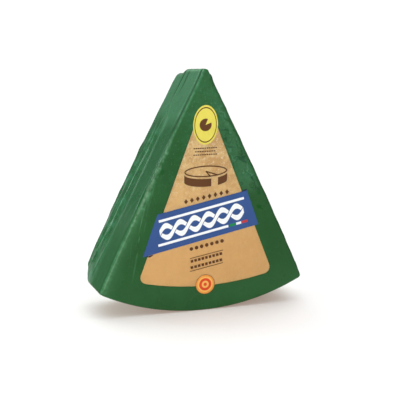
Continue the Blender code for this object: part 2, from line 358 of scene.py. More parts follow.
def outline(y, cuts):
    """Points in x and z round the wedge at depth y, from the left of the tip over the right side."""
    top = tip_top(y)
    tip_half = (TIP_Z - top) * SIN / COS + TIP_FLARE
    corner = np.array([CORNER_X, CORNER_Z])
    shoulder = np.array([tip_half, top])
    mirror = np.array([-1, 1])
    out = np.array([COS, SIN])
    along = closer_at_ends(cuts.cut)[:, None]
    right = shoulder + (corner - shoulder) * along + out * right_bulge(along * CUT_LENGTH)
    left = corner + (shoulder - corner) * along + out * left_bulge((1 - along) * CUT_LENGTH, y)
    turn = math.asin(CORNER_X / RIND_RADIUS) * (1 - 2 * np.arange(cuts.rind) / cuts.rind)
    rind = np.stack([RIND_RADIUS * np.sin(turn), RIND_CENTRE_Z - RIND_RADIUS * np.cos(turn)], 1)
    tip = shoulder * mirror + (shoulder - shoulder * mirror) * (np.arange(cuts.tip) / cuts.tip)[:, None]
    return np.concatenate([tip, right, rind, left * mirror])


# ---- modelling


def deselect():
    bpy.ops.object.select_all(action="DESELECT")


def select_only(obj):
    deselect()
    obj.select_set(True)
    bpy.context.view_layer.objects.active = obj


@contextmanager
def editing(obj, mode="VERT"):
    """Edit mode on one object, with all of it selected."""
    select_only(obj)
    bpy.ops.object.mode_set(mode="EDIT")
    bpy.ops.mesh.select_mode(type=mode)
    bpy.ops.mesh.select_all(action="SELECT")
    yield
    bpy.ops.object.mode_set(mode="OBJECT")


def named(name):
    """Names the object just added, and settles its place in its mesh."""
    obj = bpy.context.active_object
    obj.name = obj.data.name = name
    bpy.ops.object.transform_apply()
    return obj


def points_of(obj):
    """The vertices of a mesh as an array."""
    found = np.empty(len(obj.data.vertices) * 3)
    obj.data.vertices.foreach_get("co", found)
    return found.reshape(-1, 3)


def add_modifier(obj, kind, **settings):
    """Adds a modifier and applies it."""
    select_only(obj)
    modifier = obj.modifiers.new(kind.lower(), kind)
    for setting, value in settings.items():
        setattr(modifier, setting, value)
    bpy.ops.object.modifier_apply(modifier=modifier.name)


def ring_places(cuts):
    """Size and depth of every ring, from the middle of the front to the middle of the back."""
    face = [1 - (1 - k / cuts.face) ** FACE_CROWDING for k in range(cuts.face)]
    side = [HALF * (2 * t - 1) for t in closer_at_ends(cuts.side)] + [HALF]
    front, back = ([(size, y) for size in face] for y in (-HALF, HALF))
    return front + [(1, y) for y in side] + back[::-1]


def skin(name, cuts, inset):
    """A closed skin over the wedge: a ball's rings become rings on the front, the sides and the back."""
    laid = []
    for size, y in ring_places(cuts):
        flat = FACE_MIDDLE + (outline(y, cuts) - FACE_MIDDLE) * size
        laid.append(np.insert(flat, 1, y, axis=1))
    rings, around = len(laid) - 1, len(laid[0])
    deselect()
    bpy.ops.mesh.primitive_uv_sphere_add(segments=around, ring_count=rings, radius=1)
    obj = named(name)
    ball = points_of(obj)
    ring = np.rint(np.arccos(np.clip(ball[:, 2], -1, 1)) / np.pi * rings).astype(int)
    step = np.rint(np.arctan2(ball[:, 1], ball[:, 0]) / (2 * np.pi) * around).astype(int) % around
    return obj, *settle(np.array(laid)[ring, step], inset)


def face_out(obj):
    """Turns every face of a closed mesh outwards."""
    with editing(obj):
        bpy.ops.mesh.normals_make_consistent(inside=False)


def shape(obj, places):
    """Puts the vertices of a closed mesh at new places, and smooths its shading."""
    obj.data.vertices.foreach_set("co", places.ravel())
    obj.data.update()
    face_out(obj)
    bpy.ops.object.shade_smooth()


def window_half(side, z):
    """How far the window reaches to its left or right at this height."""
    return WINDOW_HALVES[side] + WINDOW_SPREADS[side] * (WINDOW_TOP - z)


def window_outline():
    """Corners of the window in x and z, clockwise from the top left."""
    left, right = (window_half(side, WINDOW_LOWEST + WINDOW_SAG) for side in (LEFT, RIGHT))
    foot = [
        (t * (right if t > 0 else left), WINDOW_LOWEST + WINDOW_SAG * t * t)
        for t in np.linspace(1, -1, WINDOW_FOOT_CUTS + 1)
    ]
    top_left, top_right = (-WINDOW_HALVES[LEFT], WINDOW_TOP), (WINDOW_HALVES[RIGHT], WINDOW_TOP)
    right_corner = rounded_corner(top_right, foot[0], foot[1], WINDOW_CORNER)
    left_corner = rounded_corner(foot[-2], foot[-1], top_left, WINDOW_CORNER)
    start, end = left_corner[0][0] + MM, right_corner[-1][0] - MM
    between_corners = [point for point in foot if start < point[0] < end]
    corners = (top_left, top_right, *right_corner, *between_corners, *left_corner)
    return [(WINDOW_X + x, z) for x, z in corners]


def rounded_corner(before, corner, after, radius):
    """Points on an arc that rounds a corner."""
    before, corner, after = (complex(*point) for point in (before, corner, after))
    to_before, to_after = ((point - corner) / abs(point - corner) for point in (before, after))
    half_turn = abs(cmath.phase(to_after / to_before)) / 2
    centre = corner + (to_before + to_after) / abs(to_before + to_after) * radius / math.sin(half_turn)
    start, end = (corner + side * radius / math.tan(half_turn) - centre for side in (to_before, to_after))
    turns = np.linspace(0, cmath.phase(end / start), WINDOW_CORNER_CUTS + 1)
    arc = centre + start * np.exp(1j * turns)
    return list(zip(arc.real, arc.imag))


def keep_inside(outline_points, clear):
    """Cuts the selected faces along a clockwise outline in x and z, and clears or hides what is outside."""
    mesh = bpy.context.edit_object.data
    ends = outline_points[1:] + outline_points[:1]
    for (x0, z0), (x1, z1) in zip(outline_points, ends):
        outward = Vector((z0 - z1, 0, x1 - x0)).normalized()
        start = Vector((x0, 0, z0))
        bpy.ops.mesh.bisect(plane_co=start, plane_no=outward, clear_outer=clear)
        bm = bmesh.from_edit_mesh(mesh)
        for face in bm.faces:
            if not face.hide:
                inside = (face.calc_center_median() - start).dot(outward) < 0
                face.hide_set(not inside)
                face.select_set(inside)
        bmesh.update_edit_mesh(mesh)


def make_film():
    """The film as one closed skin, with its pleats and waves, and its front cut along the window."""
    film, p, outward, held = skin("film", FILM_CUTS, 0.0)
    p = p + outward * relief(p, held)[:, None]
    p[:, 2] = np.maximum(p[:, 2], 0)
    shape(film, p)
    bpy.ops.object.duplicate()
    form = bpy.context.active_object
    form.name = "film_form"
    window = window_outline()
    lowest, highest = WINDOW_LOWEST - WINDOW_ROOM, WINDOW_TOP + WINDOW_ROOM
    with editing(film, "FACE"):
        bm = bmesh.from_edit_mesh(film.data)
        for face in bm.faces:
            middle = face.calc_center_median()
            near = face.normal.y < -0.9 and lowest < middle.z < highest
            face.select_set(near)
            face.hide_set(not near)
        bmesh.update_edit_mesh(film.data)
        keep_inside(window, clear=False)
        bpy.ops.mesh.separate(type="SELECTED")
        bpy.ops.mesh.reveal(select=False)
    clear = next(obj for obj in bpy.context.selected_objects if obj != film)
    clear.name = clear.data.name = "window_film"
    return film, clear, form


def make_cheese():
    """The cheese: set in under the printed film, and up close under the clear film."""
    cheese, p, _, held = skin("cheese_body", CHEESE_CUTS, CHEESE_INSET)
    x, _, z = p.T
    beside = np.minimum(x - WINDOW_X + window_half(LEFT, z), WINDOW_X + window_half(RIGHT, z) - x)
    across = np.clip((x - WINDOW_X) / window_half(LEFT, WINDOW_LOWEST), -1, 1)
    above = z - WINDOW_LOWEST - WINDOW_SAG * across**2
    margin = np.minimum(np.minimum(beside, above), WINDOW_TOP - z)
    close = smooth(*CHEESE_RISE, margin) * held[:, FRONT] ** 2
    p[:, 1] -= close * (CHEESE_INSET - CHEESE_CLOSE)
    shape(cheese, p)
    return cheese


# ---- print

SHEET_GAP = 0.005  # between the front and a flat piece that is still to be laid on it
DISC_CORNERS = 72


def before_front(middle, turn=0.0):
    """Deselects all, and gives the place and turn of a new flat piece before the front."""
    deselect()
    return {"location": (middle[0], -HALF - SHEET_GAP, middle[1]), "rotation": (math.pi / 2, -turn, 0)}


def sized(name, size):
    """Sizes and names the flat piece just added."""
    bpy.context.active_object.scale = (*size, 1)
    return named(name)


def front_sheet(name, middle, size, squares, turn=0.0):
    """A sheet of squares that stands before the front."""
    place = before_front(middle, turn)
    bpy.ops.mesh.primitive_grid_add(x_subdivisions=squares[0], y_subdivisions=squares[1], size=1, **place)
    return sized(name, size)


def front_disc(name, middle, radii, corners=DISC_CORNERS, rings=1):
    """A flat disc of rings, or one with few corners, that stands before the front."""
    place = before_front(middle)
    bpy.ops.mesh.primitive_circle_add(vertices=corners, radius=1, fill_type="NGON", **place)
    if rings > 1:
        with editing(bpy.context.active_object, "FACE"):
            for _ in range(rings - 1):
                bpy.ops.mesh.inset(thickness=1 / rings, use_even_offset=False)
            bpy.ops.mesh.poke()
    return sized(name, radii)


def ink_on(obj, form):
    """Lays a flat piece on the film, and gives it the thickness of ink."""
    add_modifier(
        obj,
        "SHRINKWRAP",
        target=form,
        wrap_method="PROJECT",
        wrap_mode="ABOVE_SURFACE",
        use_project_y=True,
        use_positive_direction=True,
        use_negative_direction=True,
        offset=INK_LIFT,
    )
    add_modifier(obj, "SOLIDIFY", thickness=INK_WALL, offset=1.0, use_rim=True)
    face_out(obj)
    bpy.ops.object.shade_smooth_by_angle(angle=math.radians(40))
    return obj


BAND_CORNERS = ((-0.0391, 0.0822), (0.036, 0.097), (0.0467, 0.0682), (-0.0511, 0.0483))
BAND_MIDDLE = (-0.0018, 0.0739)
BAND_SLOPE = math.radians(11.35)
BAND_SHEET = ((-0.002, 0.0725), (0.1, 0.052))  # middle and size of the sheet that the band is cut from
FOLD_LOW = ((-0.049, 0.0484), (-0.0418, 0.0499), (-0.045, 0.0478))
FOLD_HIGH = ((0.03, 0.0957), (0.0357, 0.0984), (0.0362, 0.0968))
FOLD_SIZE = (0.012, 0.008)
BADGE_MIDDLE = (0.0, 0.1517)
BADGE_RADII = (0.0103, 0.0157)
SEAL_MIDDLE = (0.0017, 0.0216)
SEAL_RADIUS = 0.0081


def cut_sheet(name, corners, middle, size, form):
    """A printed area with straight sides, cut from a sheet of 1 mm squares and laid on the film."""
    sheet = front_sheet(name, middle, size, [round(side / MM) for side in size])
    with editing(sheet, "FACE"):
        keep_inside(corners, clear=True)
        bpy.ops.mesh.reveal(select=False)
    return ink_on(sheet, form)


def make_band(form):
    """The blue band, slanting across the window."""
    return cut_sheet("blue_band", BAND_CORNERS, *BAND_SHEET, form)


def make_fold(name, corners, form):
    """A small dark fold of the band behind the window's edge."""
    return cut_sheet(name, corners, np.mean(corners, axis=0), FOLD_SIZE, form)


def make_badge(form):
    """The yellow oval over the top of the window."""
    return ink_on(front_disc("top_badge", BADGE_MIDDLE, BADGE_RADII, rings=7), form)


def make_seal(form):
    """The round orange seal on the lower edge of the window."""
    return ink_on(front_disc("seal", SEAL_MIDDLE, (SEAL_RADIUS, SEAL_RADIUS), 64, rings=6), form)


WHEEL_MIDDLE = (0.0008, 0.1145)
WHEEL_RADII = (0.018, 0.0046)
WHEEL_RIM = 0.0016  # from the top's outline down to the side
WHEEL_HEIGHT = 0.0062
WHEEL_LINE = 0.0009
SLICE_ENDS = ((0.004, -0.0044), (0.0105, -0.0036))  # ends of its two cuts, from its middle
DASH_STEP = 0.002


def make_wheel():
    """A picture of a cheese with a slice cut out: a ring for its top, a filled side and two cuts."""
    x, z = WHEEL_MIDDLE
    top = front_disc("wheel_top", WHEEL_MIDDLE, WHEEL_RADII)
    with editing(top, "FACE"):
        bpy.ops.mesh.inset(thickness=WHEEL_LINE)
        bpy.ops.mesh.delete(type="FACE")
    side = front_disc("wheel_side", (x, z - WHEEL_RIM), WHEEL_RADII)
    with editing(side, "EDGE"):
        bpy.ops.mesh.delete(type="ONLY_FACE")
        bm = bmesh.from_edit_mesh(side.data)
        for edge in bm.edges:
            middle = (edge.verts[0].co + edge.verts[1].co) / 2
            in_slice = SLICE_ENDS[0][0] < middle.x - x < SLICE_ENDS[1][0]
            edge.select_set(middle.z < z - WHEEL_RIM and not in_slice)
        bm.select_flush_mode()
        bmesh.update_edit_mesh(side.data)
        bpy.ops.mesh.extrude_region_move(TRANSFORM_OT_translate={"value": (0, 0, -WHEEL_HEIGHT)})
        bpy.ops.mesh.select_all(action="SELECT")
        bpy.ops.mesh.delete_loose()
    cuts = [dash(WHEEL_MIDDLE, (x + across, z + up), WHEEL_LINE) for across, up in SLICE_ENDS]
    return [top, side, *cuts]


def dash(start, end, width):
    """A straight line of ink."""
    length, turn = cmath.polar(complex(*end) - complex(*start))
    squares = max(1, round(length / DASH_STEP)), 1
    return front_sheet("dash", along(start, end, 0.5), (length, width), squares, turn)


def along(start, end, share):
    """A point between two others."""
    return tuple(low + (high - low) * share for low, high in zip(start, end))


# Rows of discs: the ends of the row, their number, radii and corners
DISC_ROWS = (
    (((-0.0155, 0.091), (0.019, 0.0968)), 8, (0.0016, 0.0021), 4),
    (((-0.0105, 0.052), (0.0155, 0.0566)), 7, (0.0015, 0.0015), 20),
)
# Rows of dashes: the ends of the row, their number, the shares of the pitch they run between, and width
DASH_ROWS = (
    (((-0.01, 0.1332), (0.01, 0.1332)), 11, (0.15, 0.85), 0.0008),
    (((-0.0088, 0.1306), (0.0088, 0.1306)), 9, (0.15, 0.85), 0.0008),
    (((-0.0102, 0.128), (0.0102, 0.128)), 11, (0.15, 0.85), 0.0008),
    (((-0.0116, 0.0441), (0.0165, 0.049)), 1, (0, 1), 0.0005),
    (((-0.0114, 0.0334), (0.0167, 0.0385)), 1, (0, 1), 0.0005),
    (((-0.0112, 0.0415), (0.0163, 0.0464)), 9, (0.1, 0.8), 0.0022),
    (((-0.0112, 0.0363), (0.0164, 0.0412)), 9, (0.1, 0.8), 0.0022),
)


def make_brown_print(form):
    """The brown print: a picture of a cheese, and rows of diamonds, dots, dashes, rules and bars."""
    marks = make_wheel()
    for row, count, radii, corners in DISC_ROWS:
        marks += [front_disc("disc", along(*row, k / (count - 1)), radii, corners) for k in range(count)]
    for row, count, shares, width in DASH_ROWS:
        for k in range(count):
            marks.append(dash(*(along(*row, (k + share) / count) for share in shares), width))
    select_only(marks[0])
    for mark in marks:
        mark.select_set(True)
    bpy.ops.object.join()
    return ink_on(named("brown_print"), form)


# ---- finishes


BLUR = 0.00008  # of the edges of the print


class Value:
    """A number that varies over a surface. Sums on it add nodes to its finish."""

    def __init__(self, finish, socket):
        self.finish = finish
        self.socket = socket

    def math(self, operation, *others):
        return self.finish.node("Math", dict(enumerate((self, *others))), {"operation": operation})

    def reflected(self, operation, other):
        return self.finish.node("Math", {0: other, 1: self}, {"operation": operation})

    __add__ = __radd__ = partialmethod(math, "ADD")
    __sub__ = partialmethod(math, "SUBTRACT")
    __rsub__ = partialmethod(reflected, "SUBTRACT")
    __mul__ = __rmul__ = partialmethod(math, "MULTIPLY")
    __truediv__ = partialmethod(math, "DIVIDE")
    __rtruediv__ = partialmethod(reflected, "DIVIDE")
    __pow__ = partialmethod(math, "POWER")
    __neg__ = partialmethod(math, "MULTIPLY", -1)
    __abs__ = partialmethod(math, "ABSOLUTE")
    least = partialmethod(math, "MINIMUM")
    most = partialmethod(math, "MAXIMUM")
    sine = partialmethod(math, "SINE")
    cosine = partialmethod(math, "COSINE")
    root = partialmethod(math, "SQRT")
    exponential = partialmethod(math, "EXPONENT")

    def rise(self, low, high, curve="SMOOTHSTEP"):
        """0 up to low and 1 from high, or the other way round if low is over high."""
        sockets = {"Value": self, "From Min": low, "From Max": high}
        return self.finish.node("MapRange", sockets, {"interpolation_type": curve})

    def under(self, limit, blur=BLUR):
        """1 where this is under a limit and 0 over it, with a soft edge."""
        return self.rise(limit + blur, limit - blur, "LINEAR")


class Finish:
    """The nodes of a material, or of the dome, and the ways to add to them."""

    def __init__(self, name, kind="materials", place="Object"):
        self.owner = getattr(bpy.data, kind).new(name)
        self.owner.use_nodes = True
        self.tree = self.owner.node_tree
        self.tree.nodes.clear()
        self.place = self.node("TexCoord", output=place)
        self.x, self.y, self.z = (self.node("SeparateXYZ", {0: self.place}, (), axis) for axis in "XYZ")

    def node(self, kind, sockets=(), settings=(), output=0):
        """Adds a node with its settings, and with values or links in its sockets. Gives one output."""
        added = self.tree.nodes.new("ShaderNode" + kind)
        for setting, value in dict(settings).items():
            if setting == "stops":
                set_stops(added.color_ramp, value)
            else:
                setattr(added, setting, value)
        for key, value in dict(sockets).items():
            if isinstance(value, Value):
                self.tree.links.new(value.socket, added.inputs[key])
            else:
                added.inputs[key].default_value = value
        return None if output is None else Value(self, added.outputs[output])

    def line(self, length, points):
        """A place aside, in metres, that follows the length through points in millimetres."""
        places = (min(max(place * MM / LINE_LENGTH, 0), 1) for place, _ in points)
        stops = list(zip(places, (aside * MM / LINE_REACH + 0.5 for _, aside in points)))
        return (self.node("ValToRGB", {"Fac": length / LINE_LENGTH}, {"stops": stops}) - 0.5) * LINE_REACH

    def mix(self, share, first, second):
        """A colour between two."""
        return self.node("Mix", {0: share, 6: first, 7: second}, {"data_type": "RGBA"}, 2)

    def noise(self, scale, detail=2.0, roughness=0.5, at=None):
        sockets = {"Vector": at or self.place, "Scale": scale, "Detail": detail, "Roughness": roughness}
        return self.node("TexNoise", sockets)

    def stretched(self, x, y, z, detail=3.0, roughness=0.6):
        """Noise that is finer one way than another."""
        return self.noise(1.0, detail, roughness, self.node("CombineXYZ", {0: x, 1: y, 2: z}))

    def bump(self, height):
        """A normal from a height in metres."""
        return self.node("Bump", {"Strength": 1.0, "Distance": 1.0, "Height": height})

    def shiny(self, colour, roughness, normal, specular):
        """The finish with its main shader."""
        look = {"Base Color": colour, "Roughness": roughness, "Normal": normal}
        return self.finished(self.node("BsdfPrincipled", {**look, "Specular IOR Level": specular}))

    def finished(self, shader, output="OutputMaterial"):
        """The material, or the world, with this shader."""
        self.node(output, {"Surface": shader}, output=None)
        return self.owner


LINE_LENGTH, LINE_REACH = 0.2, 0.06  # the longest line, and how far it may go aside in all


def set_stops(ramp, stops):
    """Gives a ramp its stops, each a place and a level."""
    while len(ramp.elements) < len(stops):
        ramp.elements.new(1.0)
    for element, (place, level) in zip(ramp.elements, stops):
        element.position = place
        element.color = (level, level, level, 1.0)


def srgb(red, green, blue):
    """The linear colour of an sRGB one, given as 0 to 255."""
    parts = (part / 255 for part in (red, green, blue))
    return *(part / 12.92 if part < 0.04045 else ((part + 0.055) / 1.055) ** 2.4 for part in parts), 1.0


GREEN, PATCH_GREEN = srgb(27, 81, 33), srgb(31, 87, 38)
# Painted light: the upper front paler in patches, as if lit from above
LIT_UPPER_GREEN = srgb(42, 104, 62)  # of the upper front
# Painted light: the sides tinted as they look under the light, bluer than the front
SIDE_LIT_GREEN = srgb(20, 80, 50)
# Painted shade of the lower sides
SHADE_GREEN, SHADE_BEHIND = srgb(22, 77, 35), srgb(0, 90, 38)  # of the lower sides
# Painted highlights and painted shade of the puckers
PUCKER_HIGHLIGHT, PUCKER_SHADE = srgb(84, 150, 120), srgb(10, 52, 30)
# Painted sheen over the tip
TIP_SHEEN_GREEN = srgb(60, 114, 80)
# Painted highlights on the loose film, and painted shade in its furrows
PUFF_HIGHLIGHT, FURROW_SHADE = srgb(96, 150, 118), srgb(12, 56, 34)
# Painted glints of the upper front
# Painted sheen and highlights of the film
SHEEN_GREEN, GLINT_GREEN = srgb(112, 176, 130), srgb(110, 156, 120)
# Painted shade in the grooves of the creases, and along the front's right edge
LEFT_GROOVE_SHADE, GROOVE_SHADE = srgb(0, 54, 12), srgb(4, 26, 14)

# A groove's dark line is painted shade
GROOVE_SPREAD = 1.4  # of a groove's dark line, in half widths of the groove
SIDE_MARGIN = (0.0012, 0.0005)  # depths under a cut side between which the front ends and the side begins


def crease_marks(finish, length, across, creases):
    """Where the crests of creases are, for their relief and painted highlights, and the painted shade of
    their grooves, from 0 to about 1.
    """
    crests, grooves = 0.0, 0.0
    for crease in creases:
        if not crease.crest:
            continue
        start, end = crease_reach(crease)
        fade = length.rise(start, start + CREASE_START) * length.rise(end, end - CREASE_END)
        aside = abs(across - finish.line(length, crease.points))
        if crease.height > 0:
            crests = aside.rise(CREST_HALF, 0.0) * fade * crease.crest + crests
        else:
            grooves = aside.rise(crease.half_width * MM * GROOVE_SPREAD, 0.0) * fade * crease.crest + grooves
    return crests, grooves


def front_relief(finish):
    """Height of the front's fine relief, and where it is grainy and pinched, from 0 to 1."""
    upper = finish.z.rise(0.085, 0.125)
    grain = finish.noise(430, 3.0, 0.65) * (upper * 0.00025 + 0.00002)
    pinch = finish.noise(150, 3.0, 0.6) * (upper * 0.0004 + 0.00006)
    return grain + pinch, upper


def loose_film(finish, to_right):
    """Where the film is loose beside the window: its puffs and furrows, as relief and as painted highlights
    and shade, and the painted highlights of its wrinkled parts.
    """
    beside = finish.x - WINDOW_X - window_half(RIGHT, finish.z)
    loose = beside.rise(0.0, 0.003) * to_right.rise(0.0015, 0.004) * finish.z.rise(0.09, 0.102)
    loose = loose * finish.z.rise(0.182, 0.15)
    bent = abs(finish.noise(95) - 0.5)
    wrinkle_glints = bent.rise(0.045, 0.008) * finish.noise(110).rise(0.4, 0.55)
    furrows = abs(finish.noise(75) - 0.47).rise(0.04, 0.008) * finish.noise(90).rise(0.62, 0.45)
    return loose, bent.rise(0.0, 0.08), wrinkle_glints, furrows


def below_cut(finish, length, aside):
    """Depth under a cut side: aside is the distance past the middle, away from that side."""
    t = (length / CUT_LENGTH).most(0.0).least(1.0) ** BOW_LEAN
    swelled = (t * (1 - t) * 4) ** BOW_FULLNESS * BOW
    flared = (length * (-1 / TIP_FLARE_LENGTH)).exponential() * TIP_FLARE
    return aside * COS + (TIP_Z - finish.z) * SIN + swelled + flared


FilmParts = namedtuple("FilmParts", "length below to_right left right side front behind lower")


def parts_of_film(finish):
    """The length from the tip, the depths under both cut sides, and where each part is, from 0 to 1."""
    length = from_tip(finish.x, finish.z)
    below, to_right = below_cut(finish, length, finish.x), below_cut(finish, length, -finish.x)
    left, right = below.rise(*SIDE_MARGIN), to_right.rise(*SIDE_MARGIN)
    side = left.most(right)
    front = finish.y.rise(-0.015, -0.018) * (1 - side)
    behind = finish.y.rise(-0.006, 0.006) * side
    return FilmParts(length, below, to_right, left, right, side, front, behind, length.rise(0.05, 0.07))


def film_greens(finish, film, lowest):
    """The greens under the marks, with painted light: the sides tinted as they look under the light,
    the upper front and the tip paler, and painted shade on the lower sides, with painted highlights
    and shade on their puckers.
    """
    colour = finish.mix(finish.noise(38, 3.0, 0.6).rise(0.35, 0.7), GREEN, PATCH_GREEN)
    # Painted light: the upper front paler in patches, as if lit from above
    lit_patches = finish.stretched(finish.x * 130, finish.y * 130, finish.z * 200).rise(0.38, 0.62)
    upper_front = film.length.rise(0.11, 0.098) * (1 - film.side)
    upper_front = upper_front * (finish.x.rise(-0.022, -0.01) * 0.8 + 0.2)
    colour = finish.mix(upper_front * (lit_patches * 0.46 + 0.14), colour, LIT_UPPER_GREEN)
    # Painted light: the sides tinted as they look under the light, bluer than the front
    colour = finish.mix(film.side * 0.5, colour, SIDE_LIT_GREEN)
    # Painted shade on the lower sides, and less on the back half of the sides away from the tip
    lower_back = film.behind * film.lower
    low_shade = finish.mix(film.behind, SHADE_GREEN, SHADE_BEHIND)
    colour = finish.mix(((0.9 - film.behind * 0.3) * lowest).most(lower_back * 0.35), colour, low_shade)
    # Painted highlights and painted shade of the puckers on the lower back of the sides
    puckers = finish.stretched(film.length * 130, finish.y * 120, film.below * 300)
    colour = finish.mix(puckers.rise(0.48, 0.66) * lower_back * 0.2, colour, PUCKER_HIGHLIGHT)
    colour = finish.mix(puckers.rise(0.48, 0.36) * lower_back * 0.3, colour, PUCKER_SHADE)
    # Painted sheen: the sides paler near the tip, with a tongue of it down the middle
    tongue = abs(finish.y + 0.001).rise(0.006, 0.0) * 0.014
    tip = (finish.noise(60) * 0.02 + film.length - tongue).rise(0.07, 0.054) * film.side
    return finish.mix(tip * (film.length.rise(0.032, 0.01) * 0.14 + 0.66), colour, TIP_SHEEN_GREEN)


def edge_shine(finish, film):
    """The painted highlight down the front's left edge, nicked and split lower down."""
    wobble = (finish.noise(90, 3.0, 0.6) - 0.5) * (film.lower * 0.002 + 0.001)
    aside = abs(film.below + wobble - finish.line(film.length, EDGE_SHINE))
    shine = aside.rise(film.length.rise(0.05, 0.12) * 0.0023 + 0.0016, 0.0)
    shine = shine * finish.y.rise(-0.0221, -0.0234) * finish.noise(160, 3.0, 0.6).rise(0.3, 0.62)
    nicks = finish.stretched(film.length * 420, finish.y * 90, film.below * 110).rise(0.4, 0.6)
    shine = shine * (nicks * 0.8 * film.lower - film.lower * 0.4 + 1)
    brow = film.below.rise(0.001, 0.0002) * film.lower * 0.6
    return shine * (film.lower * 0.08 - film.length.rise(0.115, 0.135) * 0.18 + 0.28) * (1 - brow)


def painted_sheen(finish, film, drawn, crests, fan):
    """How far painted sheen and highlights make the film paler, on the sides, under the top
    and on the front.
    """
    under_top = (finish.y + HALF) * -TIP_SLOPE + (TIP_Z - TIP_BLUNT) - finish.z
    # Painted sheen in patches on the sides, and painted highlights along the crests and under the top
    sheen = drawn.rise(0.62, 0.8) * film.side * 0.16 + drawn.rise(0.2, 0.6) * crests * 0.45
    sheen = sheen + under_top.rise(0.0022, 0.0004) * finish.y.rise(0.012, 0.008) * film.side * 0.35
    # Painted sheen near the front's left edge, painted highlights on its fanned lines, and a paler top and
    # foot
    near_edge = film.below.rise(0.016, 0.002) * film.length.rise(0.1, 0.13)
    near_edge = near_edge + film.below.rise(0.01, 0.003) * film.lower * 0.4
    top_and_foot = finish.z.rise(0.135, 0.165) * 0.06 + finish.z.rise(0.05, 0.01) * 0.04
    front = near_edge * 0.08 + fan * drawn.rise(0.35, 0.65) * 0.24 + top_and_foot
    return sheen + edge_shine(finish, film) + front * film.front


def green_film():
    """Satin film printed green and creased down the sides, with painted highlights and shade, and a painted
    sheen that makes it paler over the tip.
    """
    finish = Finish("green_film")
    film = parts_of_film(finish)
    left_crests, left_grooves = crease_marks(finish, film.length, finish.y, LEFT_CREASES)
    right_crests, right_grooves = crease_marks(finish, film.length, finish.y, RIGHT_CREASES)
    fan, _ = crease_marks(finish, film.length, film.below, FRONT_CREASES)
    crests = left_crests * film.left + right_crests * film.right
    drawn = finish.stretched(film.length * 60, finish.y * 700, film.below * 300, 2.0, 0.5)
    loose, puffed, wrinkle_glints, furrows = loose_film(finish, film.to_right)

    side = drawn * 0.00007 + finish.noise(150, 3.0, 0.6) * 0.00015 + crests * CREST_HEIGHT
    front, upper = front_relief(finish)
    pinched = film.below.rise(0.008, 0.003) * film.length.rise(0.05, 0.09)
    front = front + pinched * finish.noise(260, 3.0, 0.6) * 0.0003
    front = front + loose * (puffed * 0.0004 - furrows * 0.0003) + fan * CREST_HEIGHT
    height = front * (1 - film.side) + side * film.side

    # The lower sides, which get painted shade and more roughness
    lowest = film.side * film.length.rise(0.115, 0.165) * finish.y.rise(-0.0245, -0.0215)
    colour = film_greens(finish, film, lowest)
    loose = loose * film.front
    # Painted highlights on the loose film's puffs and wrinkled parts, and painted shade in its furrows
    colour = finish.mix(loose * (puffed * 0.12 + wrinkle_glints * 0.38 + 0.04), colour, PUFF_HIGHLIGHT)
    colour = finish.mix(loose * furrows * 0.55, colour, FURROW_SHADE)
    # Painted sheen and highlights
    colour = finish.mix(painted_sheen(finish, film, drawn, crests, fan), colour, SHEEN_GREEN)
    # Painted glints: pale flecks on the upper front
    glints = finish.noise(560, 2.0, 0.6).rise(0.6, 0.75) * upper * (1 - film.side)
    colour = finish.mix(glints * 0.46, colour, GLINT_GREEN)
    # Painted shade in the grooves of the creases
    colour = finish.mix(left_grooves * film.below.rise(0.0035, 0.002) * 0.95, colour, LEFT_GROOVE_SHADE)
    # Painted shade along the front's right edge, where the film turns away
    right_rim_shade = film.to_right.rise(0.0018, 0.0004) * finish.y.rise(-0.0215, -0.024)
    grooves = right_grooves * film.right + right_rim_shade * 0.7
    colour = finish.mix(grooves.least(1.0) * 0.95, colour, GROOVE_SHADE)
    roughness = finish.noise(60) * 0.12 + 0.22 + lowest * (1 - film.behind) * 0.45
    return finish.shiny(colour, roughness, finish.bump(height), specular=0.2)


def clear_film():
    """Clear film, which only its gloss shows."""
    finish = Finish("clear_film")
    normal = finish.bump(front_relief(finish)[0])
    gloss = finish.node("BsdfAnisotropic", {"Color": (1, 1, 1, 1), "Roughness": 0.3, "Normal": normal})
    bare = finish.node("BsdfTransparent")
    share = finish.node("Fresnel", {"IOR": 1.3, "Normal": normal})
    return finish.finished(finish.node("MixShader", {0: share, 1: bare, 2: gloss}))


def cheese_paste():
    """Straw-coloured grainy paste, paler at the top, with painted glints of the clear film over it:
    whitish specks and short streaks.
    """
    finish = Finish("cheese_paste")
    upper = finish.z.rise(0.07, 0.13)
    colour = finish.mix(finish.z.rise(0.04, 0.15), srgb(234, 188, 122), srgb(236, 204, 146))
    mottle = finish.noise(140, 4.0, 0.65).rise(0.4, 0.62)
    colour = finish.mix(mottle * (upper * 0.45 + 0.12), colour, srgb(204, 150, 86))
    # Painted glints of the clear film: whitish streaks and specks, most at the top
    streaks = finish.stretched(finish.x * 420, finish.y * 300, finish.z * 210, 4.0, 0.65).rise(0.56, 0.68)
    colour = finish.mix(streaks * (upper * 0.45 + 0.08), colour, srgb(252, 238, 200))
    specks = finish.noise(760, 2.0, 0.6).rise(0.58, 0.68)
    colour = finish.mix(specks * (upper * 0.5 + 0.06), colour, srgb(255, 248, 226))
    height = finish.noise(430, 3.0, 0.6) * (upper * 0.0005 + 0.0001)
    return finish.shiny(colour, 0.55, finish.bump(height), specular=0.3)


INK_SHADE = 0.9


def ink(name, colour, pattern=None):
    """A printed colour, with the patterns that are printed on it."""
    finish = Finish(name)
    shade = *(part * INK_SHADE for part in colour[:3]), 1.0
    layers = finish.mix(finish.noise(45).rise(0.3, 0.7), colour, shade)
    for mask, over in pattern(finish) if pattern else ():
        layers = finish.mix(mask, layers, over)
    normal = finish.bump(front_relief(finish)[0])
    return finish.shiny(layers, finish.noise(60) * 0.1 + 0.34, normal, specular=0.2)


